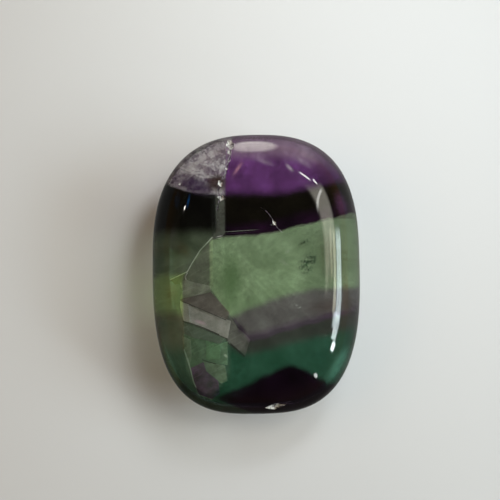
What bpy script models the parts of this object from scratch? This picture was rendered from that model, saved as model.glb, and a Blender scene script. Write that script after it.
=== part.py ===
# A polished fluorite palm stone, in metres, +Z up.
# The origin is under the middle of the stone, on the plane it rests on.
# +X points to the right of the banded face, +Y to its clear lilac end.

import math

import bmesh
import bpy
from mathutils import Euler, Vector

# The whole stone.
WIDTH = 0.02471
LENGTH = 0.03333
THICKNESS = 0.0110

# The outline seen from above: its widest line lies towards the lilac end.
WIDEST_Y = 0.00174

# How full each corner of the outline is: 2 is an ellipse, more is squarer.
# Keys are the signs of X and Y in that corner.
CORNER_POWER = {
    (1, 1): 2.73,
    (-1, 1): 2.51,
    (-1, -1): 3.03,
    (1, -1): 2.93,
}
CORNER_STEPS = 23

# The rounded side takes up this share of the way in from the outline, above and below.
SHOULDER_SHARE = 0.40
SHOULDER_RINGS = 10

# The two gently domed faces.
TOP_CROWN = 0.00080
BOTTOM_CROWN = 0.00055
CROWN_RINGS = 5

# The stone rests on a flat worn under it.
REST_DEPTH = 0.00014

SHOULDER_RISE = (THICKNESS + REST_DEPTH - TOP_CROWN - BOTTOM_CROWN) / 2
GIRDLE_Z = SHOULDER_RISE + BOTTOM_CROWN - REST_DEPTH

# The crack that opens on the upper face, from its lilac end inwards: X and Y of its turns.
CRACK = [
    (-0.00292, 0.01500),
    (-0.00300, 0.01430),
    (-0.00284, 0.01344),
    (-0.00311, 0.01237),
    (-0.00337, 0.01146),
    (-0.00353, 0.01079),
    (-0.00396, 0.01025),
    (-0.00424, 0.00960),
    (-0.00437, 0.00880),
    (-0.00410, 0.00819),
    (-0.00430, 0.00744),
    (-0.00448, 0.00659),
]
CRACK_HALF_WIDTH = 0.00014
CRACK_DEPTH = 0.00028

# The hair crack that runs through the small star-shaped chip.
HAIR = [
    (0.00055, 0.00694),
    (0.00100, 0.00668),
    (0.00138, 0.00628),
    (0.00172, 0.00580),
    (0.00205, 0.00515),
    (0.00241, 0.00456),
    (0.00300, 0.00400),
]
HAIR_HALF_WIDTH = 0.00005
HAIR_DEPTH = 0.00010

# How far each piece of a crack runs past its turn, so that the pieces join.
OVERRUN = 1.15

# Pits along the crack, and chips elsewhere. Each is X and Y of its middle,
# half its length along X, Y and Z, and its turns about X, Y and Z in degrees.
CHIPS = {
    "crack_mouth": ((-0.00292, 0.01478), (0.00060, 0.00150, 0.00050), (-45, 8, 6)),
    "crack_step": ((-0.00300, 0.01370), (0.00030, 0.00052, 0.00032), (-20, 0, 24)),
    "crack_hollow": ((-0.00306, 0.01262), (0.00024, 0.00040, 0.00026), (12, 0, 18)),
    "crack_notch": ((-0.00333, 0.01160), (0.00018, 0.00026, 0.00020), (-10, 0, -20)),
    "crack_vug": ((-0.00410, 0.00985), (0.00036, 0.00046, 0.00028), (0, 12, 20)),
    "crack_pit": ((-0.00398, 0.00815), (0.00052, 0.00044, 0.00034), (8, 0, -15)),
    "star": ((0.00204, 0.00515), (0.00020, 0.00046, 0.00020), (0, 0, 28)),
    "star_arm": ((0.00190, 0.00502), (0.00034, 0.00015, 0.00016), (0, 0, 22)),
    "green_end": ((0.00185, -0.01570), (0.00210, 0.00075, 0.00060), (-30, 0, 20)),
    "left_nick": ((-0.00880, 0.01010), (0.00020, 0.00028, 0.00016), (10, -25, 0)),
}

MERGE = 0.00001


def corner_profile(power):
    """Bevel profile that rounds a corner to the outline x^power + y^power = 1."""
    return 0.5 ** (2 / power)


def outline_reach(along_x, along_y):
    """Distance from the widest point to the outline, in a unit direction seen from above."""
    power = CORNER_POWER[(1 if along_x >= 0 else -1, 1 if along_y >= 0 else -1)]
    half_length = LENGTH / 2 - WIDEST_Y if along_y >= 0 else LENGTH / 2 + WIDEST_Y
    across = abs(along_x / (WIDTH / 2)) ** power
    length = abs(along_y / half_length) ** power
    return (across + length) ** (-1 / power)


def on_face(x, y):
    """The point of the upper face or shoulder over a point of the plan."""
    level = math.hypot(x, y - WIDEST_Y)
    share = min(1, level / outline_reach(x / level, (y - WIDEST_Y) / level))
    outward = max(0, share - 1 + SHOULDER_SHARE) / SHOULDER_SHARE
    climb = SHOULDER_RISE * math.sqrt(1 - outward ** 2)
    return Vector((x, y, GIRDLE_Z + climb + TOP_CROWN * (1 - share ** 2)))


def draw_outline(bm):
    """The stone's outline as a ring of edges at the girdle."""
    bmesh.ops.create_grid(bm, x_segments=2, y_segments=2, size=0.5)
    bmesh.ops.scale(bm, vec=(WIDTH, LENGTH, 1), verts=bm.verts)
    for vert in bm.verts:
        vert.co.z = GIRDLE_Z
        if abs(vert.co.y) < MERGE:
            vert.co.y = WIDEST_Y
    for (side_x, side_y), power in CORNER_POWER.items():
        corner = Vector((side_x * WIDTH / 2, side_y * LENGTH / 2, GIRDLE_Z))
        tip = [vert for vert in bm.verts if (vert.co - corner).length < MERGE]
        bmesh.ops.bevel(
            bm, geom=tip, affect="VERTICES", offset_type="PERCENT", offset=100,
            segments=CORNER_STEPS, profile=corner_profile(power), clamp_overlap=False,
        )
    bmesh.ops.remove_doubles(bm, verts=bm.verts, dist=MERGE)
    rim = [edge for edge in bm.edges if edge.is_boundary]
    inside = [edge for edge in bm.edges if not edge.is_boundary]
    bmesh.ops.delete(bm, geom=list(bm.faces), context="FACES_ONLY")
    bmesh.ops.delete(bm, geom=inside, context="EDGES")
    return rim


def ring_steps():
    """How much of the outline each ring keeps, and how far it has climbed the shoulder."""
    for ring in range(1, SHOULDER_RINGS + 1):
        turn = ring / SHOULDER_RINGS * math.pi / 2
        yield 1 - SHOULDER_SHARE * (1 - math.cos(turn)), math.sin(turn)
    for ring in range(1, CROWN_RINGS):
        yield (1 - SHOULDER_SHARE) * (1 - ring / CROWN_RINGS), 1


def draw_face(bm, rim, side, crown):
    """Draws the girdle ring up (side 1) or down (-1) over the shoulder to a closed face."""
    kept, height = 1, 0
    for share, climb in ring_steps():
        rise = side * (SHOULDER_RISE * climb + crown * (1 - share ** 2))
        drawn = bmesh.ops.extrude_edge_only(bm, edges=rim)["geom"]
        rim = [item for item in drawn if isinstance(item, bmesh.types.BMEdge) and item.is_boundary]
        verts = [item for item in drawn if isinstance(item, bmesh.types.BMVert)]
        for vert in verts:
            vert.co.x *= share / kept
            vert.co.y = WIDEST_Y + (vert.co.y - WIDEST_Y) * share / kept
            vert.co.z += rise - height
        kept, height = share, rise
    middle = Vector((0, WIDEST_Y, GIRDLE_Z + side * (SHOULDER_RISE + crown)))
    bmesh.ops.pointmerge(bm, verts=verts, merge_co=middle)


def flatten_underside(bm):
    """Cuts the lowest bit of the stone off level, and closes the cut with one face."""
    everything = bm.verts[:] + bm.edges[:] + bm.faces[:]
    cut = bmesh.ops.bisect_plane(
        bm, geom=everything, plane_co=(0, 0, 0), plane_no=(0, 0, 1), clear_inner=True,
    )
    rim = [item for item in cut["geom_cut"] if isinstance(item, bmesh.types.BMEdge)]
    bmesh.ops.contextual_create(bm, geom=rim)


def add_piece(name, bm):
    """Turns a closed mesh into an object of the scene."""
    bmesh.ops.recalc_face_normals(bm, faces=bm.faces)
    mesh = bpy.data.meshes.new(name)
    bm.to_mesh(mesh)
    bm.free()
    piece = bpy.data.objects.new(name, mesh)
    bpy.context.collection.objects.link(piece)
    return piece


def make_stone():
    """The tumbled stone, before its cracks and chips."""
    bm = bmesh.new()
    rim = draw_outline(bm)
    draw_face(bm, rim, 1, TOP_CROWN)
    draw_face(bm, rim, -1, BOTTOM_CROWN)
    flatten_underside(bm)
    stone = add_piece("fluorite_stone", bm)
    stone.data.shade_smooth()
    return stone


def cut_chip(stone, name, middle, half_size, turn):
    """A pit with the eight flat cleavage faces of fluorite, sunk into the surface."""
    bm = bmesh.new()
    bmesh.ops.create_uvsphere(bm, u_segments=4, v_segments=2, radius=1)
    bmesh.ops.scale(bm, vec=half_size, verts=bm.verts)
    bmesh.ops.rotate(bm, matrix=turn, cent=(0, 0, 0), verts=bm.verts)
    bmesh.ops.translate(bm, vec=middle, verts=bm.verts)
    cutter = add_piece(name, bm)
    cutter.hide_render = True
    cutter.display_type = "WIRE"
    cut = stone.modifiers.new(name, "BOOLEAN")
    cut.operation = "DIFFERENCE"
    cut.solver = "EXACT"
    cut.object = cutter


def cut_crack(stone, name, turns, half_width, depth):
    """A crack as a chain of narrow pits, one from each of its turns to the next."""
    for number, (start, end) in enumerate(zip(turns, turns[1:])):
        first, last = on_face(*start), on_face(*end)
        run = last - first
        half_size = (run.length / 2 * OVERRUN, half_width, depth)
        turn = run.to_track_quat("X", "Z").to_matrix()
        cut_chip(stone, f"{name}_{number}", (first + last) / 2, half_size, turn)


def fluorite_material():
    """Polished dusky green crystal."""
    material = bpy.data.materials.new("fluorite")
    material.use_nodes = True
    shader = material.node_tree.nodes["Principled BSDF"]
    shader.inputs["Base Color"].default_value = (0.12, 0.16, 0.11, 1)
    shader.inputs["Roughness"].default_value = 0.08
    shader.inputs["Metallic"].default_value = 0
    shader.inputs["IOR"].default_value = 1.434
    return material


def main():
    for thing in list(bpy.data.objects):
        bpy.data.objects.remove(thing)
    stone = make_stone()
    stone.data.materials.append(fluorite_material())
    cut_crack(stone, "crack", CRACK, CRACK_HALF_WIDTH, CRACK_DEPTH)
    cut_crack(stone, "hair_crack", HAIR, HAIR_HALF_WIDTH, HAIR_DEPTH)
    for name, (place, half_size, turns) in CHIPS.items():
        turn = Euler([math.radians(angle) for angle in turns]).to_matrix()
        cut_chip(stone, name, on_face(*place), half_size, turn)


main()
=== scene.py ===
import math

import bmesh
import bpy
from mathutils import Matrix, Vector


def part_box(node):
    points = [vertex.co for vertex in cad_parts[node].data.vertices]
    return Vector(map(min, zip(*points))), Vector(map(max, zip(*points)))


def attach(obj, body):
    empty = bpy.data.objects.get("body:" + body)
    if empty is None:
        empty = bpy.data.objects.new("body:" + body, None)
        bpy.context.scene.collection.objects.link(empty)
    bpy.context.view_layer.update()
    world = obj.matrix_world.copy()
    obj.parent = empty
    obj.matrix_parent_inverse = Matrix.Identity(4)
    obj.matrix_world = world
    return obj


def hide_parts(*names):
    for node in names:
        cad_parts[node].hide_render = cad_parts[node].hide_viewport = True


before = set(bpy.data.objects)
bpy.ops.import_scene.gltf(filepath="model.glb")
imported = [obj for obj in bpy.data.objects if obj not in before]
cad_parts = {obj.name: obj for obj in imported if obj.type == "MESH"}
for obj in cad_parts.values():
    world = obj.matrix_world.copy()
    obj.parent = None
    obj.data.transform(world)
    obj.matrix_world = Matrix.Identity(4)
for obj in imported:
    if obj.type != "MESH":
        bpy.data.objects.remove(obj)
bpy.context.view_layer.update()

# The stone's form, as in its solid.
low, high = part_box("fluorite_stone")
WIDTH = high[0] - low[0]
LENGTH = high[1] - low[1]
THICKNESS = high[2] - low[2]
WIDEST_Y = 0.00174
CORNER_POWER = {
    (1, 1): 2.73,
    (-1, 1): 2.51,
    (-1, -1): 3.03,
    (1, -1): 2.93,
}
CORNER_STEPS = 32
SHOULDER_SHARE = 0.40
SHOULDER_RINGS = 18
TOP_CROWN = 0.00080
BOTTOM_CROWN = 0.00055
CROWN_RINGS = 10
REST_DEPTH = 0.00014
SHOULDER_RISE = (THICKNESS + REST_DEPTH - TOP_CROWN - BOTTOM_CROWN) / 2
GIRDLE_Z = SHOULDER_RISE + BOTTOM_CROWN - REST_DEPTH

# Corners closer than this are one, the level cut of the flat is this exact, and faces that
# meet at less than this angle are shaded as one.
MERGE = 0.00001
LEVEL_CUT = 0.0000001
SMOOTH_ANGLE = math.radians(25)

# The open crack, from its mouth at the lilac end inwards: X and Y of its turns.
CRACK = [
    (-0.00292, 0.01500),
    (-0.00300, 0.01430),
    (-0.00284, 0.01344),
    (-0.00311, 0.01237),
    (-0.00337, 0.01146),
    (-0.00353, 0.01079),
    (-0.00396, 0.01025),
    (-0.00424, 0.00960),
    (-0.00437, 0.00880),
    (-0.00410, 0.00819),
    (-0.00430, 0.00744),
    (-0.00448, 0.00659),
]
CRACK_HALF_WIDTH = 0.00014
CRACK_DEPTH = 0.00028

# The hair crack through the star-shaped chip.
HAIR = [
    (0.00055, 0.00694),
    (0.00100, 0.00668),
    (0.00138, 0.00628),
    (0.00172, 0.00580),
    (0.00205, 0.00515),
    (0.00241, 0.00456),
    (0.00300, 0.00400),
]
HAIR_HALF_WIDTH = 0.00005
HAIR_DEPTH = 0.00010
OVERRUN = 1.15

# Pits along the crack, and chips elsewhere: X and Y of the middle,
# half the length along X, Y and Z, and the turns about X, Y and Z in degrees.
CHIPS = {
    "crack_mouth": ((-0.00292, 0.01478), (0.00060, 0.00150, 0.00050), (-45, 8, 6)),
    "crack_step": ((-0.00300, 0.01370), (0.00030, 0.00052, 0.00032), (-20, 0, 24)),
    "crack_hollow": ((-0.00306, 0.01262), (0.00024, 0.00040, 0.00026), (12, 0, 18)),
    "crack_notch": ((-0.00333, 0.01160), (0.00018, 0.00026, 0.00020), (-10, 0, -20)),
    "crack_vug": ((-0.00410, 0.00985), (0.00036, 0.00046, 0.00028), (0, 12, 20)),
    "crack_pit": ((-0.00398, 0.00815), (0.00052, 0.00044, 0.00034), (8, 0, -15)),
    "star": ((0.00204, 0.00515), (0.00020, 0.00046, 0.00020), (0, 0, 28)),
    "star_arm": ((0.00190, 0.00502), (0.00034, 0.00015, 0.00016), (0, 0, 22)),
    "green_end": ((0.00185, -0.01570), (0.00210, 0.00075, 0.00060), (-30, 0, 20)),
    "left_nick": ((-0.00880, 0.01010), (0.00020, 0.00028, 0.00016), (10, -25, 0)),
}

# How finely and how roughly the broken faces are cut up, and the seed of their roughness.
BREAK_CUTS = 2
BREAK_ROUGHNESS = 0.9
CHIP_SEED = 11

# Growth edges of the crystal, in mm, each where its band starts towards the lilac end:
# X and Y of its corner, its slope left and right of the corner, its rounding and its softness.
EDGE_LABELS = ("Corner X", "Corner Y", "Slope Left", "Slope Right", "Rounding", "Softness")

# Bands to the right of the veil, from the green end up: darker and lighter tone, then the edge.
MAIN_BANDS = {
    "plum end": ((0.010, 0.005, 0.010), (0.032, 0.013, 0.034), None),
    "teal": ((0.045, 0.165, 0.098), (0.090, 0.260, 0.172), (3.9, -11.0, 0.46, -0.60, 0.8, 0.9)),
    "grey teal": ((0.093, 0.103, 0.088), (0.147, 0.162, 0.140), (-1.5, -9.75, -0.55, 0.25, 0.5, 1.1)),
    "violet line": ((0.160, 0.113, 0.168), (0.245, 0.174, 0.260), (-1.2, -8.1, -1.38, 0.27, 0.3, 0.35)),
    "grey": ((0.235, 0.215, 0.215), (0.400, 0.380, 0.375), (-1.2, -7.5, -1.38, 0.27, 0.3, 0.5)),
    "green": ((0.360, 0.490, 0.290), (0.600, 0.780, 0.500), (4.0, -3.0, 0.44, 0.04, 3.0, 0.9)),
    "plum edge": ((0.014, 0.006, 0.016), (0.065, 0.020, 0.070), (1.0, 4.0, 0.04, 0.24, 1.0, 0.25)),
    "black": ((0.009, 0.007, 0.006), (0.022, 0.019, 0.012), (1.0, 5.3, 0.04, 0.24, 1.0, 1.20)),
    "violet": ((0.170, 0.060, 0.200), (0.400, 0.135, 0.520), (2.5, 8.8, -0.05, 0.22, 1.5, 1.6)),
    "lilac": ((0.360, 0.210, 0.370), (0.600, 0.430, 0.600), (2.0, 12.9, 0.04, -0.20, 3.0, 1.6)),
}

# Bands to the left of the veil.
LEFT_BANDS = {
    "dusk end": ((0.055, 0.100, 0.066), (0.130, 0.230, 0.160), None),
    "olive": ((0.170, 0.155, 0.105), (0.320, 0.275, 0.190), (-9.0, -9.0, 0.2, 0.2, 1.0, 2.5)),
    "lime": ((0.360, 0.580, 0.190), (0.700, 0.980, 0.370), (-9.0, -5.0, 0.0, 0.0, 1.0, 1.8)),
    "dark green": ((0.100, 0.130, 0.080), (0.280, 0.340, 0.240), (-9.0, -0.6, 0.1, 0.0, 1.0, 1.0)),
    "black": ((0.007, 0.007, 0.007), (0.016, 0.016, 0.014), (-8.0, 4.2, 0.0, 0.0, 1.0, 1.8)),
}

# The pale crystalline crust to the left of the crack: darker and lighter tone, and its lower edge.
CRUST = ((0.28, 0.20, 0.29), (1.00, 0.95, 0.99), (-7.3, 8.9, -0.45, -0.08, 0.6, 0.4))

# Its flakes: how many of each size to a mm, how they wander off a grid, and where they pale.
CRUST_FLAKES = (0.9, 2.6)
CRUST_BEND_SCALE = 1.2
CRUST_BEND = (1.6, 1.6, 0)
CRUST_EDGE = (0.20, 0.70)

# Edges of the veil, in mm, as the growth edges but X over Y. It lies between the fracture, which
# the strip and the keel step aside, and its far edge, which the strip and the lobe step aside.
FRACTURE = (-2.8, -5.38, 0.0, 0.0, 0.15, 0.20)
STRIP_RIGHT = (3.9, -3.72, 2.4, 0.0, 0.1, 0.40)
CRACK_EDGE = (10.3, -3.55, 0.40, 0.17, 0.1, 0.20)
KEEL = (-8.1, -1.2, 0.9, -0.72, 0.15, 0.25)
FAR_EDGE = (-0.9, -8.45, -0.03, 0.76, 0.2, 0.3)
STRIP_LEFT = (4.7, -4.55, -0.3, 0.0, 0.2, 0.4)
LOBE_LEFT = (-13.6, -6.95, -2.2, -0.34, 0.5, 0.3)
LOW_RIGHT = (-12.2, -3.45, 0.9, 0.0, 0.4, 0.80)

# The step between the veil's upper and lower parts, as Y over X.
STEP_LINE = (-3.6, -7.9, -0.43, -0.97, 0.2, 0.2)

# Clear crystal over the veil's upper and lower parts.
CLEAR_ABOVE = ((0.17, 0.18, 0.16), (0.26, 0.27, 0.24))
CLEAR_BELOW = ((0.15, 0.22, 0.16), (0.26, 0.40, 0.29))

# How far the fracture and the bands step aside for each mm below FACE_Z, which is in mm too.
FACE_Z = 10.6
FRACTURE_DIP = 0.05
GROWTH_LEAN = 0.065

# The rounded side is darker, partly for the longer path through the crystal and partly as painted
# shade of the stone's own shadow seen through it: where this fades out from the girdle, in mm,
# what is left of the light, and how much of this darker colour shows.
RIM_FADE = (2.6, 4.5)
RIM_SHADE = 0.95
RIM_SHARE = 0.30

# The right-hand side is duller: where this starts and ends, in mm, and what is left of the light.
RIGHT_DULL = (3.0, 9.5)
RIGHT_SHADE = 0.66

# Clouds in the crystal, in features per mm: the two tones of each band, the wandering of the
# edges in mm, and the fine shimmer and grain.
CLOUD_SCALE = 0.30
CLOUD_EDGE = (0.25, 0.75)
WANDER_SCALE = 0.5
WANDER = 0.8
FINE_SCALE = 2.2
SHIMMER_EDGE = (0.3, 0.7)
SHIMMER = (0.84, 1.12)
GRAIN_EDGE = (0.46, 0.60)
JITTER = 0.8

# Small marks in the crystal, a few of them painted glints, reflections and glow: X and Y, half length
# and half width in mm, turn in degrees, softness, colour, strength, and how much of the mark is grain.
MARK_LABELS = ("Mark X", "Mark Y", "Half Length", "Half Width", "Turn", "Softness")
MARKS = {
    "crust violet": (-6.9, 9.8, 3.1, 1.35, -14, 0.7, (0.08, 0.03, 0.12), 1.0, 0.25),
    "crust white": (-6.1, 13.3, 0.60, 0.50, 30, 0.8, (1.0, 0.97, 1.0), 1.0, 0.3),
    "crust glint": (-4.4, 12.5, 0.26, 0.18, 20, 0.7, (1.0, 1.0, 1.0), 1.0, 0.1),
    "crust cream": (-7.4, 12.0, 0.90, 0.35, 40, 0.9, (1.0, 0.96, 0.98), 0.8, 0.5),
    "crust bloom": (-5.2, 13.2, 2.2, 1.1, 30, 1.0, (0.80, 0.68, 0.76), 0.8, 0.6),
    "rust": (-4.4, 10.0, 1.5, 1.25, 10, 0.6, (0.08, 0.035, 0.03), 1.0, 0.2),
    "green shade": (-3.0, -1.2, 1.8, 5.0, 0, 1.0, (0.20, 0.35, 0.15), 0.75, 0.1),
    "violet shade": (3.9, 10.8, 2.8, 1.5, -10, 0.9, (0.17, 0.055, 0.20), 0.90, 0.3),
    "crust dark": (-5.4, 11.2, 0.9, 0.55, 0, 0.9, (0.20, 0.10, 0.20), 0.7, 0.5),
    "lime heart": (-9.8, -2.7, 0.9, 1.5, 0, 0.9, (0.60, 0.62, 0.16), 0.8, 0.4),
    "bracken": (-8.3, 2.4, 0.9, 1.6, 30, 0.9, (0.20, 0.13, 0.05), 0.8, 0.8),
    "speckles": (5.9, 0.5, 1.3, 1.9, -30, 0.5, (0.05, 0.10, 0.06), 1.0, 1.0),
    "specks above": (5.6, 2.9, 0.5, 1.0, -60, 0.5, (0.07, 0.12, 0.06), 0.9, 1.0),
    "brown edge": (10.3, -4.0, 0.9, 3.2, 8, 0.9, (0.15, 0.11, 0.07), 0.9, 0.4),
    "tan edge": (10.1, -1.6, 0.5, 2.0, 8, 0.7, (0.42, 0.34, 0.16), 0.8, 0.9),
    "olive right": (8.6, 1.2, 1.9, 4.6, 8, 0.9, (0.24, 0.27, 0.12), 0.9, 0.5),
    "grey right": (8.0, -4.4, 3.2, 1.3, 12, 0.9, (0.24, 0.18, 0.17), 0.8, 0.3),
    "violet right": (9.9, 7.4, 1.0, 2.0, 15, 0.8, (0.28, 0.10, 0.31), 1.0, 0.4),
    "violet dark": (7.8, 10.3, 1.8, 1.0, 30, 0.9, (0.12, 0.04, 0.15), 0.8, 0.2),
    "wisp right": (3.95, 11.6, 0.85, 0.28, -45, 0.9, (0.95, 0.85, 0.95), 0.9, 0.3),
    "wisp middle": (0.9, 12.4, 1.9, 0.45, -20, 1.0, (0.80, 0.65, 0.82), 0.8, 0.6),
    "wisp far": (5.6, 12.3, 1.7, 0.50, -35, 1.0, (0.85, 0.75, 0.85), 0.9, 0.6),
    # A painted reflection: a thin pink streak of light reflected inside the crystal.
    "painted pink reflection": (-2.0, 11.6, 1.4, 0.30, 50, 1.0, (0.90, 0.45, 0.60), 0.9, 0.1),
    "white dash": (-4.2, 3.72, 0.45, 0.10, 10, 0.5, (1.0, 1.0, 0.95), 1.0, 0.0),
    "fine line": (-1.9, 4.32, 2.6, 0.06, 3, 0.5, (0.75, 0.9, 0.7), 0.9, 0.4),
    "white line": (3.15, 0.64, 0.82, 0.08, -40, 0.6, (1.0, 1.0, 0.95), 0.8, 0.3),
    "fleck": (3.55, 1.9, 0.35, 0.10, 70, 0.7, (1.0, 1.0, 1.0), 0.9, 0.2),
    # A painted glint: a blue streak of rainbow light refracted at an inner crack.
    "painted blue glint": (-7.75, 7.9, 1.1, 0.16, 80, 0.8, (0.02, 0.20, 0.70), 1.0, 0.1),
    "pink patch": (-6.5, -6.0, 0.95, 0.32, -20, 0.9, (0.52, 0.34, 0.44), 0.9, 0.2),
    "white spot": (-3.65, -9.8, 0.40, 0.18, -40, 0.7, (0.95, 1.0, 0.95), 1.0, 0.2),
    "grey hollow": (-1.9, -6.9, 0.9, 0.50, -45, 0.8, (0.08, 0.05, 0.09), 1.0, 0.3),
    # Painted light: the teal band brightened at the rounded edges, where light comes through the thin
    # side.
    "glowing teal edge": (9.3, -11.2, 3.2, 1.2, 58, 0.8, (0.34, 0.85, 0.64), 1.0, 0.2),
    "glowing teal edge left": (-10.2, -10.6, 3.6, 0.55, -68, 0.9, (0.42, 0.80, 0.62), 0.9, 0.4),
    "crumb right": (4.75, -4.5, 0.22, 0.09, 20, 0.6, (1.0, 1.0, 1.0), 1.0, 0.0),
}

# The veil's facets inside the crystal: tone, depth below the face at the right and at the left,
# and X and Y of the corners, in mm.
VEIL = {
    "strip": ("dusk", 0.20, 0.45, [
        (-4.50, 8.3), (-3.62, 8.2), (-3.58, 5.57), (-3.62, 3.95), (-4.4, 3.75), (-5.0, 3.6),
        (-4.58, 4.73), (-4.52, 6.2),
    ]),
    "wing": ("moss", 0.30, 1.40, [
        (-4.90, 3.66), (-4.98, 3.02), (-5.10, -2.0), (-7.5, -1.4), (-7.9, -0.2), (-7.47, 0.64),
        (-6.46, 2.19),
    ]),
    "foot": ("sage", 0.34, 1.50, [
        (-5.23, -1.9), (-5.36, -2.6), (-8.64, -3.25), (-8.42, -2.31), (-8.70, -1.43),
        (-8.05, -1.05), (-7.5, -1.35),
    ]),
    "spur": ("moss", 1.30, 1.70, [
        (-7.6, -0.2), (-9.73, -1.0), (-9.20, -1.55), (-8.00, -1.45), (-7.4, -1.2),
    ]),
    "brow": ("mauve", 0.38, 1.60, [
        (-8.65, -3.15), (-5.36, -2.5), (-5.09, -2.81), (-3.14, -4.95), (-3.57, -5.79),
        (-7.79, -3.89), (-8.5, -3.56),
    ]),
    "face": ("pale", 0.34, 1.65, [
        (-8.65, -3.45), (-7.79, -3.8), (-3.57, -5.7), (-3.05, -5.9), (-3.42, -7.85), (-8.31, -5.8),
        (-8.65, -4.14),
    ]),
    "cheek": ("bright", 1.20, 1.55, [
        (-8.65, -3.58), (-7.79, -3.89), (-7.62, -5.95), (-8.26, -5.75), (-8.63, -4.29),
    ]),
    "keel": ("ash", 0.26, 0.50, [
        (-3.14, -5.3), (-2.32, -6.7), (-1.62, -7.2), (-0.9, -8.0), (-1.52, -9.93), (-3.46, -8.22),
        (-3.40, -7.6),
    ]),
    "ledge": ("ash", 0.40, 1.75, [
        (-8.38, -5.85), (-3.74, -7.87), (-4.3, -8.40), (-7.26, -7.66), (-8.33, -7.1),
    ]),
    "apron": ("green", 0.45, 1.80, [
        (-8.35, -7.0), (-7.26, -7.6), (-4.3, -8.35), (-3.46, -8.2), (-3.5, -10.8), (-6.17, -10.33),
        (-7.62, -11.1), (-8.36, -8.85),
    ]),
    "apron_left": ("sage", 1.50, 1.70, [
        (-8.41, -7.44), (-7.55, -7.88), (-7.44, -9.71), (-7.7, -10.9), (-8.29, -9.13),
    ]),
    "apron_light": ("grass", 0.50, 0.90, [
        (-5.85, -8.05), (-4.31, -8.63), (-4.33, -10.17), (-5.88, -10.15),
    ]),
    "hem": ("sage", 0.50, 1.20, [
        (-6.17, -10.36), (-3.78, -10.87), (-3.52, -12.57), (-4.24, -12.84), (-5.91, -11.41),
    ]),
    "lobe": ("plum", 0.50, 1.20, [
        (-7.62, -11.05), (-6.17, -10.4), (-5.9, -11.4), (-4.58, -12.55), (-4.4, -13.99),
        (-5.28, -14.57), (-6.71, -13.99), (-7.37, -12.54),
    ]),
}

# How thick a facet is, in mm.
VEIL_THICKNESS = 0.03

# Bright and dark lines where the facets meet: tone, half width, depth at the right and at the
# left, and X and Y of the turns.
VEIL_LINES = {
    "brow_line": ("dark", 0.05, 0.28, 1.50, [(-8.36, -3.59), (-7.79, -3.86), (-3.57, -5.79)]),
    "step_line": ("dark", 0.10, 0.14, 1.50, [
        (-8.38, -5.76), (-6.11, -6.66), (-3.6, -7.81), (-3.4, -8.22), (-1.52, -9.93),
    ]),
    "wing_edge": ("bright", 0.05, 0.24, 1.50, [
        (-5.02, 3.66), (-6.46, 2.19), (-7.47, 0.64), (-7.9, -0.2), (-9.73, -1.0),
    ]),
    "wing_foot": ("bright", 0.06, 1.00, 1.45, [
        (-6.75, -2.56), (-7.91, -1.76), (-8.12, -0.76), (-7.9, -0.27),
    ]),
    "hem_line": ("dark", 0.05, 0.40, 0.80, [(-6.31, -10.14), (-5.6, -10.43), (-4.83, -10.65)]),
    "lobe_edge": ("bright", 0.06, 0.80, 1.30, [
        (-8.3, -8.9), (-7.88, -10.12), (-7.62, -11.11), (-7.3, -12.54), (-6.71, -13.99), (-5.28, -14.6),
    ]),
}

# Each tone of the veil: darker and lighter colour, and how much of it is there.
VEIL_TONES = {
    "pale": ((0.58, 0.58, 0.58), (0.90, 0.90, 0.90), 0.95),
    "ash": ((0.14, 0.14, 0.13), (0.25, 0.25, 0.24), 0.88),
    "mauve": ((0.13, 0.10, 0.10), (0.24, 0.20, 0.20), 0.90),
    "moss": ((0.09, 0.12, 0.075), (0.28, 0.35, 0.24), 0.85),
    "sage": ((0.24, 0.29, 0.21), (0.56, 0.64, 0.52), 0.88),
    "green": ((0.16, 0.26, 0.17), (0.32, 0.46, 0.34), 0.80),
    "grass": ((0.20, 0.38, 0.20), (0.32, 0.52, 0.32), 0.60),
    "plum": ((0.08, 0.02, 0.09), (0.42, 0.15, 0.50), 0.90),
    "dusk": ((0.03, 0.035, 0.03), (0.11, 0.13, 0.11), 0.85),
    "dark": ((0.010, 0.010, 0.012), (0.030, 0.030, 0.032), 1.00),
    "bright": ((0.70, 0.74, 0.73), (0.95, 0.97, 0.96), 0.90),
}

# The frost on the veil: its clouds, its scratches with their turn in radians and their stretch
# along and across, and how much it changes what is there.
VEIL_ROUGHNESS = 0.35
FROST_SCALE = 0.9
FROST_EDGE = (0.22, 0.80)
FROST_SHARE = 0.2
STREAK_TURN = -0.4
STREAK_STRETCH = (0.35, 4)
STREAK_EDGE = (0.52, 0.70)
STREAK_SHARE = 0.25
STREAK_DEPTH = 0.00005
STREAK_STRENGTH = 0.5

# Broken crystal: the white of the cracks and of the chips, how dark its specks are, how many
# there are to a mm and where they begin, and its roughness and clarity.
CRACK_WHITE = (0.28, 0.25, 0.29)
CHIP_WHITE = (0.78, 0.78, 0.76)
SPECK_SHADE = 0.15
SPECK_SCALE = 3.2
SPECK_EDGE = (0.46, 0.53)
FRACTURE_ROUGHNESS = 0.30
FRACTURE_CLARITY = 0.25

# The polish, and the share of the light that passes its skin: above, on the underside with the
# heights in mm between the two, and in dark bands with the paleness that ends them.
CRYSTAL_IOR = 1.434
POLISH_ROUGHNESS = 0.04
SKIN_CLEARNESS = 0.62
UNDERSIDE_CLEARNESS = 0.95
UNDERSIDE_EDGE = (0.6, 2.0)
DARK_CLEARNESS = 0.32
DARK_LIMIT = 0.10

# How clear the crystal is, and the tint and density of its body.
CLARITY = 0.85
BODY_TINT = (0.52, 0.56, 0.52)
BODY_DENSITY = 100

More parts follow.
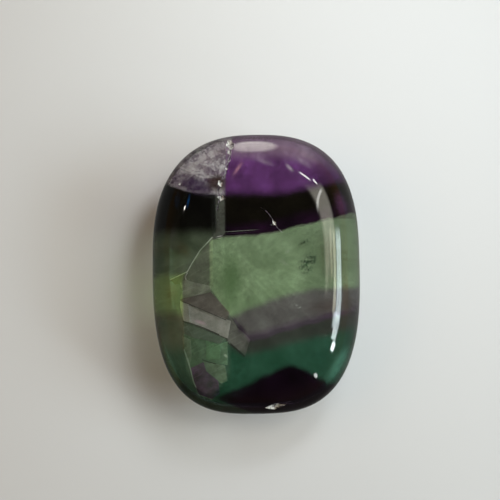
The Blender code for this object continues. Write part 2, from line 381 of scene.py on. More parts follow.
# Each light: azimuth from +X towards +Y and elevation in degrees, distance, width and height,
# radiance, colour, and whether the polish mirrors it.
LIGHTS = {
    "key_upper": (3, 39.5, 0.35, (0.125, 0.055), 8.64, (1.0, 1.0, 0.80), True),
    "key_lower": (1, 27.5, 0.35, (0.150, 0.104), 13.0, (0.82, 0.97, 1.0), True),
    "key_side": (-11, 30, 0.35, (0.046, 0.135), 15.0, (0.84, 0.98, 1.0), True),
    "key_end": (-17.5, 28.5, 0.35, (0.042, 0.090), 17.6, (0.88, 1.0, 1.0), True),
    "key_tip": (-24, 24, 0.35, (0.040, 0.065), 38.0, (0.90, 1.0, 1.0), True),
    "softbox": (27, 51, 0.35, (0.180, 0.240), 4.48, (1.0, 0.96, 0.82), True),
    "softbox_foot": (10, 48, 0.35, (0.060, 0.050), 4.48, (1.0, 0.96, 0.78), True),
    "softbox_edge": (38, 54, 0.35, (0.012, 0.200), 10.4, (1.0, 1.0, 0.97), True),
    "oval": (58, 46, 0.12, (0.021, 0.008), 19.5, (1.0, 0.99, 0.96), True),
    "small_oval": (47.5, 40.5, 0.12, (0.010, 0.009), 23.4, (1.0, 1.0, 1.0), True),
    "side_oval": (-51, 25, 0.30, (0.020, 0.060), 12.8, (1.0, 1.0, 1.0), True),
    "top_oval": (90, 3, 0.08, (0.026, 0.050), 4.6, (1.0, 1.0, 0.88), True),
    "spark": (151, 42, 0.35, (0.018, 0.018), 45.0, (1.0, 0.93, 0.86), True),
    "bounce": (180, 45, 0.30, (0.300, 0.200), 1.4, (1.0, 0.60, 0.28), False),
    "fill": (58, 50, 0.075, (0.030, 0.030), 12.0, (0.90, 0.98, 1.0), False),
}
LIGHT_AIM = (0, 0, 0.008)
OVAL_LIGHTS = ("top_oval", "spark", "side_oval", "oval", "small_oval")

# How much of a light's width fades out at each edge, and the light that the stone doesn't let through.
LIGHT_FADE = 0.22
MIRRORED_ONLY = "top_oval"

# The room: its colours low, high and below the horizon, what is left of them behind the camera
# and to the left, the steps between them as parts of a unit direction, and the backdrop.
ROOM_HORIZON = (0.36, 0.20, 0.08)
ROOM_OVERHEAD = (0.065, 0.055, 0.040)
ROOM_BELOW = (0.30, 0.30, 0.29)
ROOM_BEHIND = 0.25
ROOM_LEFT = 0.35
ROOM_CLIMB = (0.0, 0.7)
ROOM_FOOT = (-0.05, 0.0)
BEHIND_EDGE = (-0.8, 0.1)
LEFT_EDGE = (-0.6, 0.5)
ROOM_SEEN = (0.62, 0.61, 0.58)

# The floor, and how far from the stone it turns into the pale backdrop, in metres.
FLOOR_SIZE = 3
FLOOR_GAP = 0.00003
FLOOR_COLOUR = (0.62, 0.63, 0.66)
FLOOR_ROUGHNESS = 0.9
FLOOR_SHEEN = 0.1
FLOOR_FADE = (0.10, 0.55)

# The camera: its lens and sensor in mm, its place, and its turns in degrees.
LENS = 64.8
SENSOR = 36
NEAREST = 0.001
CAMERA_PLACE = (-0.002036, -0.009063, 0.112447)
CAMERA_TURNS = (6.28, -0.616, -0.85)


def deselect_all():
    bpy.ops.object.select_all(action="DESELECT")


def pick_verts(thing, wanted):
    """Selects the vertices of a piece in edit mode that a test of their place accepts."""
    bpy.ops.mesh.select_mode(type="VERT")
    bpy.ops.mesh.select_all(action="DESELECT")
    bm = bmesh.from_edit_mesh(thing.data)
    for vert in bm.verts:
        vert.select = wanted(vert.co)
    bm.select_flush(True)
    bmesh.update_edit_mesh(thing.data)


def apply_modifier(thing, kind, **settings):
    """Adds a modifier to a piece and applies it."""
    modifier = thing.modifiers.new(kind.title(), kind)
    for name, value in settings.items():
        setattr(modifier, name, value)
    bpy.context.view_layer.objects.active = thing
    bpy.ops.object.modifier_apply(modifier=modifier.name)


def turn_selected(angles):
    """Turns the selection about the origin, about X, then Y, then Z."""
    for axis, angle in zip("XYZ", angles):
        bpy.ops.transform.rotate(value=-angle, orient_axis=axis, center_override=(0, 0, 0))


def corner_profile(power):
    """Bevel profile that rounds a corner to the outline x^power + y^power = 1."""
    return 0.5 ** (2 / power)


def outline_reach(along_x, along_y):
    """Distance from the widest point to the outline, in a unit direction seen from above."""
    power = CORNER_POWER[(1 if along_x >= 0 else -1, 1 if along_y >= 0 else -1)]
    half_length = LENGTH / 2 - WIDEST_Y if along_y >= 0 else LENGTH / 2 + WIDEST_Y
    across = abs(along_x / (WIDTH / 2)) ** power
    length = abs(along_y / half_length) ** power
    return (across + length) ** (-1 / power)


def on_face(x, y, depth=0):
    """The point of the upper face or shoulder over a point of the plan, or a little below it."""
    level = math.hypot(x, y - WIDEST_Y)
    share = min(1, level / outline_reach(x / level, (y - WIDEST_Y) / level))
    outward = max(0, share - 1 + SHOULDER_SHARE) / SHOULDER_SHARE
    climb = SHOULDER_RISE * math.sqrt(1 - outward ** 2)
    return Vector((x, y, GIRDLE_Z + climb + TOP_CROWN * (1 - share ** 2) - depth))


def draw_outline():
    """The stone's outline as a ring of edges at the girdle."""
    deselect_all()
    bpy.ops.mesh.primitive_plane_add(size=1)
    stone = bpy.context.object
    stone.name = stone.data.name = "polished_stone"
    bpy.ops.object.mode_set(mode="EDIT")
    bpy.ops.transform.resize(value=(WIDTH, LENGTH, 1), center_override=(0, 0, 0))
    bpy.ops.transform.translate(value=(0, 0, GIRDLE_Z))
    bpy.ops.mesh.bisect(plane_co=(0, WIDEST_Y, 0), plane_no=(0, 1, 0))
    bpy.ops.mesh.select_all(action="SELECT")
    bpy.ops.mesh.bisect(plane_co=(0, 0, 0), plane_no=(1, 0, 0))
    for (side_x, side_y), power in CORNER_POWER.items():
        corner = Vector((side_x * WIDTH / 2, side_y * LENGTH / 2, GIRDLE_Z))
        pick_verts(stone, lambda place: (place - corner).length < MERGE)
        bpy.ops.mesh.bevel(
            affect="VERTICES", offset_type="PERCENT", offset_pct=100,
            segments=CORNER_STEPS, profile=corner_profile(power), clamp_overlap=False,
        )
    bpy.ops.mesh.select_all(action="SELECT")
    bpy.ops.mesh.remove_doubles(threshold=MERGE)
    bpy.ops.mesh.dissolve_faces()
    bpy.ops.mesh.delete(type="ONLY_FACE")
    return stone


def ring_steps():
    """How much of the outline each ring keeps, and how far it has climbed the shoulder."""
    for ring in range(1, SHOULDER_RINGS + 1):
        turn = ring / SHOULDER_RINGS * math.pi / 2
        yield 1 - SHOULDER_SHARE * (1 - math.cos(turn)), math.sin(turn)
    for ring in range(1, CROWN_RINGS):
        yield (1 - SHOULDER_SHARE) * (1 - ring / CROWN_RINGS), 1


def draw_face(stone, side, crown):
    """Draws the girdle ring up (side 1) or down (-1) over the shoulder to a closed face."""
    pick_verts(stone, lambda place: abs(place.z - GIRDLE_Z) < MERGE)
    kept, height = 1, 0
    for share, climb in ring_steps():
        rise = side * (SHOULDER_RISE * climb + crown * (1 - share ** 2))
        bpy.ops.mesh.extrude_region_move(TRANSFORM_OT_translate={"value": (0, 0, rise - height)})
        step = share / kept
        bpy.ops.transform.resize(value=(step, step, 1), center_override=(0, WIDEST_Y, 0))
        kept, height = share, rise
    bpy.ops.mesh.merge(type="CENTER")


def make_stone():
    """The tumbled stone, polished all over, with the flat that it rests on."""
    stone = draw_outline()
    draw_face(stone, 1, TOP_CROWN)
    draw_face(stone, -1, BOTTOM_CROWN)
    bpy.ops.mesh.select_all(action="SELECT")
    bpy.ops.mesh.normals_make_consistent(inside=False)
    bpy.ops.object.mode_set(mode="OBJECT")
    apply_modifier(stone, "SUBSURF", levels=1, render_levels=1)
    bpy.ops.object.mode_set(mode="EDIT")
    bpy.ops.mesh.select_all(action="SELECT")
    bpy.ops.mesh.bisect(
        plane_co=(0, 0, 0), plane_no=(0, 0, 1), use_fill=True, clear_inner=True,
        threshold=LEVEL_CUT,
    )
    bpy.ops.object.mode_set(mode="OBJECT")
    return stone


def make_breaker(name, middle, half_size, angles, seed):
    """A rough eight-sided block, whose faces are left in the stone as a pit."""
    deselect_all()
    bpy.ops.mesh.primitive_circle_add(vertices=4, radius=1)
    breaker = bpy.context.object
    breaker.name = breaker.data.name = name
    bpy.ops.object.mode_set(mode="EDIT")
    for side in (1, -1):
        pick_verts(breaker, lambda place: abs(place.z) < MERGE)
        bpy.ops.mesh.extrude_region_move(TRANSFORM_OT_translate={"value": (0, 0, side)})
        bpy.ops.mesh.merge(type="CENTER")
    bpy.ops.mesh.select_all(action="SELECT")
    bpy.ops.mesh.normals_make_consistent(inside=False)
    bpy.ops.mesh.subdivide(number_cuts=BREAK_CUTS, fractal=BREAK_ROUGHNESS, seed=seed)
    bpy.ops.transform.resize(value=half_size, center_override=(0, 0, 0))
    turn_selected(angles)
    bpy.ops.transform.translate(value=middle)
    bpy.ops.object.mode_set(mode="OBJECT")
    return breaker


def crack_breakers(name, turns, half_width, depth):
    """Narrow breakers along a crack, one from each of its turns to the next."""
    for number, (start, end) in enumerate(zip(turns, turns[1:])):
        first, last = on_face(*start), on_face(*end)
        run = last - first
        half_size = (run.length / 2 * OVERRUN, half_width, depth)
        angles = (0, -math.atan2(run.z, math.hypot(run.x, run.y)), math.atan2(run.y, run.x))
        yield make_breaker(f"{name}_{number}", (first + last) / 2, half_size, angles, CHIP_SEED + number)


def break_stone(stone, crack_finish, chip_finish):
    """Opens the cracks and knocks out the chips."""
    breakers = list(crack_breakers("crack", CRACK, CRACK_HALF_WIDTH, CRACK_DEPTH))
    breakers += crack_breakers("hair_crack", HAIR, HAIR_HALF_WIDTH, HAIR_DEPTH)
    for breaker in breakers:
        breaker.data.materials.append(crack_finish)
    for number, (name, (place, half_size, turns)) in enumerate(CHIPS.items()):
        angles = [math.radians(turn) for turn in turns]
        breaker = make_breaker(name, on_face(*place), half_size, angles, CHIP_SEED - number)
        breaker.data.materials.append(chip_finish)
        breakers.append(breaker)
    heap = bpy.data.collections.new("breakers")
    bpy.context.scene.collection.children.link(heap)
    for breaker in breakers:
        heap.objects.link(breaker)
    apply_modifier(
        stone, "BOOLEAN", operation="DIFFERENCE", solver="EXACT", operand_type="COLLECTION",
        collection=heap, material_mode="TRANSFER",
    )
    for breaker in breakers:
        bpy.data.objects.remove(breaker)
    bpy.data.collections.remove(heap)
    deselect_all()
    stone.select_set(True)
    bpy.context.view_layer.objects.active = stone
    bpy.ops.object.shade_smooth_by_angle(angle=SMOOTH_ANGLE)


def add_node(tree, kind, **settings):
    """Adds a node to the right of the others and sets its options."""
    node = tree.nodes.new(kind)
    node.location = (200 * len(tree.nodes), 0)
    for name, value in settings.items():
        setattr(node, name, value)
    return node


def feed(tree, socket, value):
    """Links a value to a socket, or sets it there."""
    if isinstance(value, bpy.types.NodeSocket):
        tree.links.new(value, socket)
    else:
        socket.default_value = value


def maths(tree, operation, *values, clamp=False):
    node = add_node(tree, "ShaderNodeMath", operation=operation, use_clamp=clamp)
    for socket, value in zip(node.inputs, values):
        feed(tree, socket, value)
    return node.outputs["Value"]


def mix(tree, mask, under, over, blend="MIX"):
    """Lays one colour over another by a mask."""
    node = add_node(tree, "ShaderNodeMix", data_type="RGBA", blend_type=blend)
    under, over = (paint if hasattr(paint, "node") else (*paint, 1) for paint in (under, over))
    for number, value in ((0, mask), (6, under), (7, over)):
        feed(tree, node.inputs[number], value)
    return node.outputs[2]


def grade(tree, value, start, end, low=0, high=1):
    """A smooth step of a value, from low at start to high at end."""
    node = add_node(tree, "ShaderNodeMapRange", interpolation_type="SMOOTHSTEP")
    for label, number in (("Value", value), ("From Min", start), ("From Max", end),
                          ("To Min", low), ("To Max", high)):
        feed(tree, node.inputs[label], number)
    return node.outputs["Result"]


def clouds(tree, place, scale, detail=3, roughness=0.55):
    """Soft noise, in features per mm."""
    node = add_node(tree, "ShaderNodeTexNoise")
    for label, value in (("Vector", place), ("Scale", scale), ("Detail", detail),
                         ("Roughness", roughness)):
        feed(tree, node.inputs[label], value)
    return node.outputs["Fac"]


def split(tree, place):
    node = add_node(tree, "ShaderNodeSeparateXYZ")
    feed(tree, node.inputs[0], place)
    return node.outputs["X"], node.outputs["Y"], node.outputs["Z"]


def combine(tree, x, y, z):
    node = add_node(tree, "ShaderNodeCombineXYZ")
    for socket, value in zip(node.inputs, (x, y, z)):
        feed(tree, socket, value)
    return node.outputs["Vector"]


def new_group(name, inputs, outputs):
    """An empty node group with named sockets, and its input and output nodes."""
    group = bpy.data.node_groups.new(name, "ShaderNodeTree")
    for label, kind in inputs.items():
        group.interface.new_socket(label, in_out="INPUT", socket_type=f"NodeSocket{kind}")
    for label, kind in outputs.items():
        group.interface.new_socket(label, in_out="OUTPUT", socket_type=f"NodeSocket{kind}")
    start = add_node(group, "NodeGroupInput")
    return group, start.outputs, add_node(group, "NodeGroupOutput").inputs


def growth_edge_group():
    """Mask of the crystal grown past an edge: 1 above it, 0 below, in mm."""
    inputs = {"Place": "Vector", "Wander": "Float"} | {label: "Float" for label in EDGE_LABELS}
    group, given, result = new_group("growth_edge", inputs, {"Mask": "Float"})
    x, y, _ = split(group, given["Place"])
    left, right = given["Slope Left"], given["Slope Right"]
    past = maths(group, "SUBTRACT", x, given["Corner X"])
    square = maths(group, "MULTIPLY", past, past)
    rounding = maths(group, "MULTIPLY", given["Rounding"], given["Rounding"])
    turned = maths(group, "SQRT", maths(group, "ADD", square, rounding))
    turned = maths(group, "SUBTRACT", turned, given["Rounding"])
    lean = maths(group, "MULTIPLY", maths(group, "ADD", right, left), 0.5)
    bend = maths(group, "MULTIPLY", maths(group, "SUBTRACT", right, left), 0.5)
    level = maths(group, "MULTIPLY_ADD", past, lean, given["Corner Y"])
    level = maths(group, "MULTIPLY_ADD", turned, bend, level)
    height = maths(group, "SUBTRACT", maths(group, "ADD", y, given["Wander"]), level)
    half = maths(group, "MULTIPLY", given["Softness"], 0.5)
    mask = grade(group, height, maths(group, "MULTIPLY", half, -1), half)
    feed(group, result["Mask"], mask)
    return group


def grown_past(tree, edge_group, place, edge, wander):
    """Places a growth edge in a tree and returns its mask."""
    node = add_node(tree, "ShaderNodeGroup", node_tree=edge_group)
    feed(tree, node.inputs["Place"], place)
    feed(tree, node.inputs["Wander"], wander)
    for label, value in zip(EDGE_LABELS, edge):
        node.inputs[label].default_value = value
    return node.outputs["Mask"]


def paint_bands(tree, edge_group, place, bands, cloud, wander):
    """Lays the growth bands over each other, each in its two tones."""
    colour = None
    for dark, light, edge in bands.values():
        tone = mix(tree, cloud, dark, light)
        if edge is None:
            colour = tone
            continue
        mask = grown_past(tree, edge_group, place, edge, wander)
        colour = mix(tree, mask, colour, tone)
    return colour


def mark_group():
    """Mask of a soft oval mark, in mm."""
    inputs = {"Place": "Vector", "Wander": "Float"} | {label: "Float" for label in MARK_LABELS}
    group, given, result = new_group("soft_mark", inputs, {"Mask": "Float"})
    x, y, _ = split(group, given["Place"])
    x = maths(group, "SUBTRACT", x, given["Mark X"])
    y = maths(group, "SUBTRACT", y, given["Mark Y"])
    turned = add_node(group, "ShaderNodeVectorRotate", rotation_type="Z_AXIS")
    feed(group, turned.inputs["Vector"], combine(group, x, y, 0))
    feed(group, turned.inputs["Angle"], maths(group, "MULTIPLY", given["Turn"], -1))
    along, across, _ = split(group, turned.outputs["Vector"])
    along = maths(group, "DIVIDE", along, given["Half Length"])
    across = maths(group, "DIVIDE", across, given["Half Width"])
    reach = maths(group, "MULTIPLY_ADD", across, across, maths(group, "MULTIPLY", along, along))
    reach = maths(group, "ADD", maths(group, "SQRT", reach), given["Wander"])
    inner = maths(group, "SUBTRACT", 1, given["Softness"])
    feed(group, result["Mask"], grade(group, reach, inner, 1, 1, 0))
    return group


def paint_mark(tree, marks, place, wander, grain, colour, mark):
    """Lays one small mark over a colour."""
    *form, turn, softness, paint, strength, grain_share = mark
    node = add_node(tree, "ShaderNodeGroup", node_tree=marks)
    feed(tree, node.inputs["Place"], place)
    feed(tree, node.inputs["Wander"], wander)
    for label, value in zip(MARK_LABELS, (*form, math.radians(turn), softness)):
        node.inputs[label].default_value = value
    grained = maths(tree, "MULTIPLY_ADD", grain, grain_share, 1 - grain_share)
    mask = maths(tree, "MULTIPLY", node.outputs["Mask"], maths(tree, "MULTIPLY", grained, strength))
    return mix(tree, mask, colour, paint)


def flakes(tree, place, scale):
    """A random value for each flake of the crust."""
    node = add_node(tree, "ShaderNodeTexVoronoi")
    feed(tree, node.inputs["Vector"], place)
    node.inputs["Scale"].default_value = scale
    return split(tree, node.outputs["Color"])[0]


def crust_colour(tree, place):
    """Pale crystalline flakes of two sizes."""
    bent = add_node(tree, "ShaderNodeTexNoise")
    feed(tree, bent.inputs["Vector"], place)
    bent.inputs["Scale"].default_value = CRUST_BEND_SCALE
    moved = add_node(tree, "ShaderNodeVectorMath", operation="MULTIPLY_ADD")
    for socket, value in zip(moved.inputs, (bent.outputs["Color"], CRUST_BEND, place)):
        feed(tree, socket, value)
    large, small = (flakes(tree, moved.outputs["Vector"], scale) for scale in CRUST_FLAKES)
    value = maths(tree, "MULTIPLY_ADD", small, 0.5, maths(tree, "MULTIPLY", large, 0.5))
    return mix(tree, grade(tree, value, *CRUST_EDGE), *CRUST[:2])


def crystal_group():
    """The crystal's colour at a place in it, in mm."""
    edges, marks = growth_edge_group(), mark_group()
    group, given, result = new_group("crystal_colour", {"Place": "Vector"}, {"Colour": "Color"})
    x, y, z = split(group, given["Place"])
    depth = maths(group, "SUBTRACT", FACE_Z, z)
    leaned = maths(group, "MULTIPLY_ADD", depth, -GROWTH_LEAN, y)
    flat = combine(group, x, leaned, 0)
    across = combine(group, leaned, maths(group, "MULTIPLY_ADD", depth, FRACTURE_DIP, x), 0)
    cloud = grade(group, clouds(group, flat, CLOUD_SCALE, detail=4), *CLOUD_EDGE)
    wander = maths(group, "MULTIPLY_ADD", clouds(group, flat, WANDER_SCALE), WANDER, -WANDER / 2)
    fine = clouds(group, flat, FINE_SCALE, detail=6, roughness=0.65)

    def past(edge, vector=across):
        return grown_past(group, edges, vector, edge, 0)

    def both(first, second):
        return maths(group, "MULTIPLY", first, second)

    def short_of(mask):
        return maths(group, "SUBTRACT", 1, mask)

    main = paint_bands(group, edges, flat, MAIN_BANDS, cloud, wander)
    left = paint_bands(group, edges, flat, LEFT_BANDS, cloud, wander)
    past_crack = maths(group, "MINIMUM", past(FRACTURE), past(STRIP_RIGHT))
    past_crack = maths(group, "MINIMUM", past_crack, past(KEEL))
    past_crack = maths(group, "MINIMUM", past_crack, past(CRACK_EDGE, combine(group, leaned, x, 0)))
    past_far_edge = both(maths(group, "MAXIMUM", past(FAR_EDGE), past(STRIP_LEFT)), past(LOBE_LEFT))
    above_step = past(STEP_LINE, flat)
    colour = mix(group, past_far_edge, left, main)
    low_veil = both(past_far_edge, both(short_of(above_step), short_of(past(LOW_RIGHT))))
    colour = mix(group, low_veil, colour, mix(group, cloud, *CLEAR_BELOW))
    high_veil = both(past_far_edge, both(above_step, short_of(past_crack)))
    colour = mix(group, high_veil, colour, mix(group, cloud, *CLEAR_ABOVE))
    crust = both(grown_past(group, edges, flat, CRUST[2], wander), short_of(past_crack))
    colour = mix(group, crust, colour, crust_colour(group, combine(group, x, leaned, z)))
    shimmer = mix(group, grade(group, fine, *SHIMMER_EDGE), *([shade] * 3 for shade in SHIMMER))
    colour = mix(group, 1, colour, shimmer, "MULTIPLY")
    grain = grade(group, fine, *GRAIN_EDGE)
    jitter = maths(group, "MULTIPLY_ADD", fine, JITTER, -JITTER / 2)
    for mark in MARKS.values():
        colour = paint_mark(group, marks, flat, jitter, grain, colour, mark)
    dull = grade(group, x, *RIGHT_DULL, 1, RIGHT_SHADE)
    colour = mix(group, 1, colour, combine(group, dull, dull, dull), "MULTIPLY")
    # Painted shade: towards the girdle the colour is squared and darkened, for the stone's own shadow
    # seen through the rounded side as well as the longer path.
    from_girdle = maths(group, "ABSOLUTE", maths(group, "SUBTRACT", z, GIRDLE_Z * 1000))
    rim = grade(group, from_girdle, *RIM_FADE, RIM_SHARE, 0)
    painted_rim_shade = mix(group, 1, mix(group, 1, colour, colour, "MULTIPLY"), [RIM_SHADE] * 3, "MULTIPLY")
    feed(group, result["Colour"], mix(group, rim, colour, painted_rim_shade))
    return group


def start_material(name, rough, transmission=0.0):
    """A material with its place in mm, and its shader."""
    material = bpy.data.materials.new(name)
    material.use_nodes = True
    tree = material.node_tree
    shader = tree.nodes["Principled BSDF"]
    shader.inputs["Roughness"].default_value = rough
    shader.inputs["Transmission Weight"].default_value = transmission
    shader.inputs["IOR"].default_value = CRYSTAL_IOR
    coordinates = add_node(tree, "ShaderNodeTexCoord")
    scaled = add_node(tree, "ShaderNodeMapping")
    feed(tree, scaled.inputs["Vector"], coordinates.outputs["Object"])
    scaled.inputs["Scale"].default_value = (1000, 1000, 1000)
    return material, tree, shader, scaled.outputs["Vector"]


def let_light_through(tree, shader, place, colour):
    """Lets light into the crystal past its skin, less through dark bands, more through the underside."""
    _, _, z = split(tree, place)
    clearness = grade(tree, z, *UNDERSIDE_EDGE, UNDERSIDE_CLEARNESS, SKIN_CLEARNESS)
    paleness = add_node(tree, "ShaderNodeRGBToBW")
    feed(tree, paleness.inputs["Color"], colour)
    past_dark = grade(tree, paleness.outputs["Val"], 0.0, DARK_LIMIT, DARK_CLEARNESS, 1)
    clearness = maths(tree, "MULTIPLY", clearness, past_dark)
    path = add_node(tree, "ShaderNodeLightPath")
    blocked = maths(tree, "MULTIPLY", path.outputs["Is Shadow Ray"], clearness)
    feed(tree, shader.inputs["Alpha"], maths(tree, "SUBTRACT", 1, blocked))


def crystal_colour(tree, crystal, place):
    node = add_node(tree, "ShaderNodeGroup", node_tree=crystal)
    feed(tree, node.inputs["Place"], place)
    return node.outputs["Colour"]


def polished_material(crystal):
    """Clear polished crystal with its growth bands."""
    material, tree, shader, place = start_material("fluorite_polished", POLISH_ROUGHNESS, CLARITY)
    colour = crystal_colour(tree, crystal, place)
    feed(tree, shader.inputs["Base Color"], colour)
    let_light_through(tree, shader, place, colour)
    absorption = add_node(tree, "ShaderNodeVolumeAbsorption")
    absorption.inputs["Color"].default_value = (*BODY_TINT, 1)
    absorption.inputs["Density"].default_value = BODY_DENSITY
    output = tree.nodes["Material Output"]
    tree.links.new(absorption.outputs["Volume"], output.inputs["Volume"])
    return material


def fracture_material(name, crystal, white):
    """Broken crystal: whiter and rougher than the polish, with dark specks."""
    material, tree, shader, place = start_material(name, FRACTURE_ROUGHNESS, FRACTURE_CLARITY)
    specks = clouds(tree, place, SPECK_SCALE, detail=5, roughness=0.75)
    specks = grade(tree, specks, *SPECK_EDGE)
    dark = mix(tree, 1, crystal_colour(tree, crystal, place), [SPECK_SHADE] * 3, "MULTIPLY")
    colour = mix(tree, specks, dark, white)
    feed(tree, shader.inputs["Base Color"], colour)
    let_light_through(tree, shader, place, colour)
    return material


def frost_group():
    """Fine scratches and cloudy patches on a cleavage face, in mm."""
    group, given, result = new_group(
        "cleavage_frost", {"Place": "Vector", "Turn": "Float"}, {"Cloud": "Float", "Streaks": "Float"}
    )
    turned = add_node(group, "ShaderNodeVectorRotate", rotation_type="Z_AXIS")
    feed(group, turned.inputs["Vector"], given["Place"])
    feed(group, turned.inputs["Angle"], given["Turn"])
    x, y, z = split(group, turned.outputs["Vector"])
    x, y = (maths(group, "MULTIPLY", way, stretch) for way, stretch in zip((x, y), STREAK_STRETCH))
    streaks = clouds(group, combine(group, x, y, z), 1.0, detail=5)
    feed(group, result["Streaks"], grade(group, streaks, *STREAK_EDGE))
    cloud = clouds(group, given["Place"], FROST_SCALE, detail=5)
    feed(group, result["Cloud"], grade(group, cloud, *FROST_EDGE))
    return group


def veil_material(tone, frost):
    """One tone of the cleavage veil inside the crystal."""
    dark, light, share = VEIL_TONES[tone]
    material, tree, shader, place = start_material(f"veil_{tone}", VEIL_ROUGHNESS)
    marks = add_node(tree, "ShaderNodeGroup", node_tree=frost)
    feed(tree, marks.inputs["Place"], place)
    marks.inputs["Turn"].default_value = STREAK_TURN
    colour = mix(tree, marks.outputs["Cloud"], dark, light)
    streaks = maths(tree, "MULTIPLY", marks.outputs["Streaks"], STREAK_SHARE)
    colour = mix(tree, streaks, colour, [min(1, 2 * part) for part in light])
    feed(tree, shader.inputs["Base Color"], colour)
    thinnest = share - FROST_SHARE / 2
    alpha = maths(tree, "MULTIPLY_ADD", marks.outputs["Cloud"], FROST_SHARE, thinnest, clamp=True)
    feed(tree, shader.inputs["Alpha"], alpha)
    bump = add_node(tree, "ShaderNodeBump")
    bump.inputs["Strength"].default_value = STREAK_STRENGTH
    bump.inputs["Distance"].default_value = STREAK_DEPTH
    feed(tree, bump.inputs["Height"], marks.outputs["Streaks"])
    feed(tree, shader.inputs["Normal"], bump.outputs["Normal"])
    return material


def make_facet(name, near, far, corners):
    """A thin closed plate inside the stone, deeper towards its left side."""
    deselect_all()
    bpy.ops.mesh.primitive_circle_add(vertices=len(corners), radius=1, fill_type="NGON")
    facet = bpy.context.object
    facet.name = facet.data.name = f"veil_{name}"
    bpy.ops.object.mode_set(mode="EDIT")
    across = [x for x, _ in corners]
    for number, (x, y) in enumerate(corners):
        share = (max(across) - x) / (max(across) - min(across))
        depth = near + (far - near) * share
        goal = on_face(x / 1000, y / 1000, depth / 1000)
        bm = bmesh.from_edit_mesh(facet.data)
        bm.verts.ensure_lookup_table()
        here = bm.verts[number].co.copy()
        pick_verts(facet, lambda place: (place - here).length < MERGE)
        bpy.ops.transform.translate(value=goal - here)
    bpy.ops.mesh.select_all(action="SELECT")
    bpy.ops.mesh.quads_convert_to_tris()
    bpy.ops.mesh.normals_make_consistent(inside=False)
    bpy.ops.object.mode_set(mode="OBJECT")
    apply_modifier(facet, "SOLIDIFY", thickness=VEIL_THICKNESS / 1000, offset=-1)
    return facet


def line_corners(turns, half_width):
    """Corners of a narrow band along a line of turns."""
    sides = ([], [])
    for number, turn in enumerate(turns):
        before = Vector(turns[max(0, number - 1)])
        after = Vector(turns[min(len(turns) - 1, number + 1)])
        along = (after - before).normalized() * half_width
        sides[0].append((turn[0] - along.y, turn[1] + along.x))
        sides[1].append((turn[0] + along.y, turn[1] - along.x))
    return sides[0] + sides[1][::-1]


def make_veil():
    """The cleavage veil that dips into the crystal from the crack."""
    frost = frost_group()
    materials = {tone: veil_material(tone, frost) for tone in VEIL_TONES}
    pieces = dict(VEIL)
    for name, (tone, half_width, near, far, turns) in VEIL_LINES.items():
        pieces[name] = (tone, near, far, line_corners(turns, half_width))
    for name, (tone, near, far, corners) in pieces.items():
        facet = make_facet(name, near, far, corners)
        facet.data.materials.append(materials[tone])
        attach(facet, "root")


def floor_material():
    material = bpy.data.materials.new("pale_floor")
    material.use_nodes = True
    shader = material.node_tree.nodes["Principled BSDF"]
    shader.inputs["Base Color"].default_value = (*FLOOR_COLOUR, 1)
    shader.inputs["Roughness"].default_value = FLOOR_ROUGHNESS
    shader.inputs["Specular IOR Level"].default_value = FLOOR_SHEEN
    tree = material.node_tree
    place = add_node(tree, "ShaderNodeTexCoord").outputs["Object"]
    away = add_node(tree, "ShaderNodeVectorMath", operation="LENGTH")
    feed(tree, away.inputs[0], place)
    shader.inputs["Emission Color"].default_value = (*ROOM_SEEN, 1)
    feed(tree, shader.inputs["Emission Strength"], grade(tree, away.outputs["Value"], *FLOOR_FADE))
    return material


def make_floor():
    deselect_all()
    bpy.ops.mesh.primitive_plane_add(size=FLOOR_SIZE, location=(0, 0, -FLOOR_GAP))
    floor = bpy.context.object
    floor.name = floor.data.name = "floor"
    floor.data.materials.append(floor_material())
    floor.visible_glossy = False


def fade_edges(lamp, oval):
    """Fades a light out towards its edges."""
    lamp.use_nodes = True
    tree = lamp.node_tree
    place = add_node(tree, "ShaderNodeNewGeometry").outputs["Parametric"]
    ways = split(tree, place)[:2]
    if oval:
        sides = [maths(tree, "SUBTRACT", way, 0.5) for way in ways]
        squares = [maths(tree, "MULTIPLY", side, side) for side in sides]
        reach = maths(tree, "SQRT", maths(tree, "ADD", *squares))
        share = grade(tree, reach, 0.5 - LIGHT_FADE, 0.5, 1, 0)
    else:
        inwards = [maths(tree, "MINIMUM", way, maths(tree, "SUBTRACT", 1, way)) for way in ways]
        shares = [grade(tree, side, 0, LIGHT_FADE) for side in inwards]
        share = maths(tree, "MULTIPLY", *shares)
    feed(tree, tree.nodes["Emission"].inputs["Strength"], share)


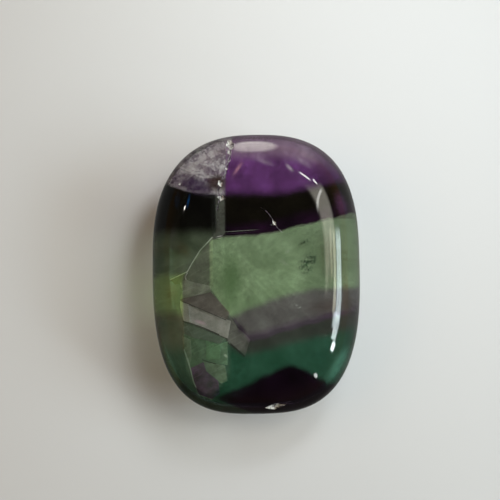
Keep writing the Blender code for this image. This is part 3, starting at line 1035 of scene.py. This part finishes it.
def add_light(name, azimuth, elevation, distance, size, radiance, colour, mirrored):
    """A soft light that faces the stone. Its azimuth is from +X towards +Y."""
    around, up = math.radians(azimuth), math.radians(elevation)
    away = Vector((math.cos(around) * math.cos(up), math.sin(around) * math.cos(up), math.sin(up)))
    lamp = bpy.data.lights.new(name, "AREA")
    lamp.shape = "ELLIPSE" if name in OVAL_LIGHTS else "RECTANGLE"
    lamp.size, lamp.size_y = size
    lamp.energy = radiance * math.pi * size[0] * size[1]
    lamp.color = colour
    light = bpy.data.objects.new(name, lamp)
    bpy.context.scene.collection.objects.link(light)
    light.location = Vector(LIGHT_AIM) + away * distance
    light.rotation_euler = away.to_track_quat("Z", "Y").to_euler()
    light.visible_camera = False
    light.visible_glossy = mirrored
    light.visible_transmission = name != MIRRORED_ONLY
    fade_edges(lamp, name in OVAL_LIGHTS)


def make_world():
    """A dim room, paler towards the horizon and darker behind the camera, with a pale backdrop."""
    world = bpy.data.worlds.new("room")
    world.use_nodes = True
    tree = world.node_tree
    across, away, up = split(tree, add_node(tree, "ShaderNodeTexCoord").outputs["Generated"])
    colour = mix(tree, grade(tree, up, *ROOM_CLIMB), ROOM_HORIZON, ROOM_OVERHEAD)
    colour = mix(tree, grade(tree, up, *ROOM_FOOT), ROOM_BELOW, colour)
    behind = combine(tree, *[grade(tree, away, *BEHIND_EDGE, ROOM_BEHIND, 1)] * 3)
    colour = mix(tree, 1, colour, behind, "MULTIPLY")
    left = combine(tree, *[grade(tree, across, *LEFT_EDGE, ROOM_LEFT, 1)] * 3)
    colour = mix(tree, 1, colour, left, "MULTIPLY")
    seen = add_node(tree, "ShaderNodeLightPath").outputs["Is Camera Ray"]
    feed(tree, tree.nodes["Background"].inputs["Color"], mix(tree, seen, colour, ROOM_SEEN))
    bpy.context.scene.world = world


def make_camera():
    lens = bpy.data.cameras.new("camera")
    lens.lens = LENS
    lens.sensor_width = SENSOR
    lens.clip_start = NEAREST
    camera = bpy.data.objects.new("camera", lens)
    bpy.context.scene.collection.objects.link(camera)
    camera.location = CAMERA_PLACE
    camera.rotation_euler = [math.radians(angle) for angle in CAMERA_TURNS]
    bpy.context.scene.camera = camera


crystal = crystal_group()
stone = make_stone()
stone.data.materials.append(polished_material(crystal))
break_stone(
    stone,
    fracture_material("fluorite_crack", crystal, CRACK_WHITE),
    fracture_material("fluorite_chip", crystal, CHIP_WHITE),
)
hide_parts("fluorite_stone")
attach(stone, "root")
make_veil()
make_floor()
make_world()
for name, settings in LIGHTS.items():
    add_light(name, *settings)
make_camera()
bpy.context.scene.view_settings.view_transform = "Standard"
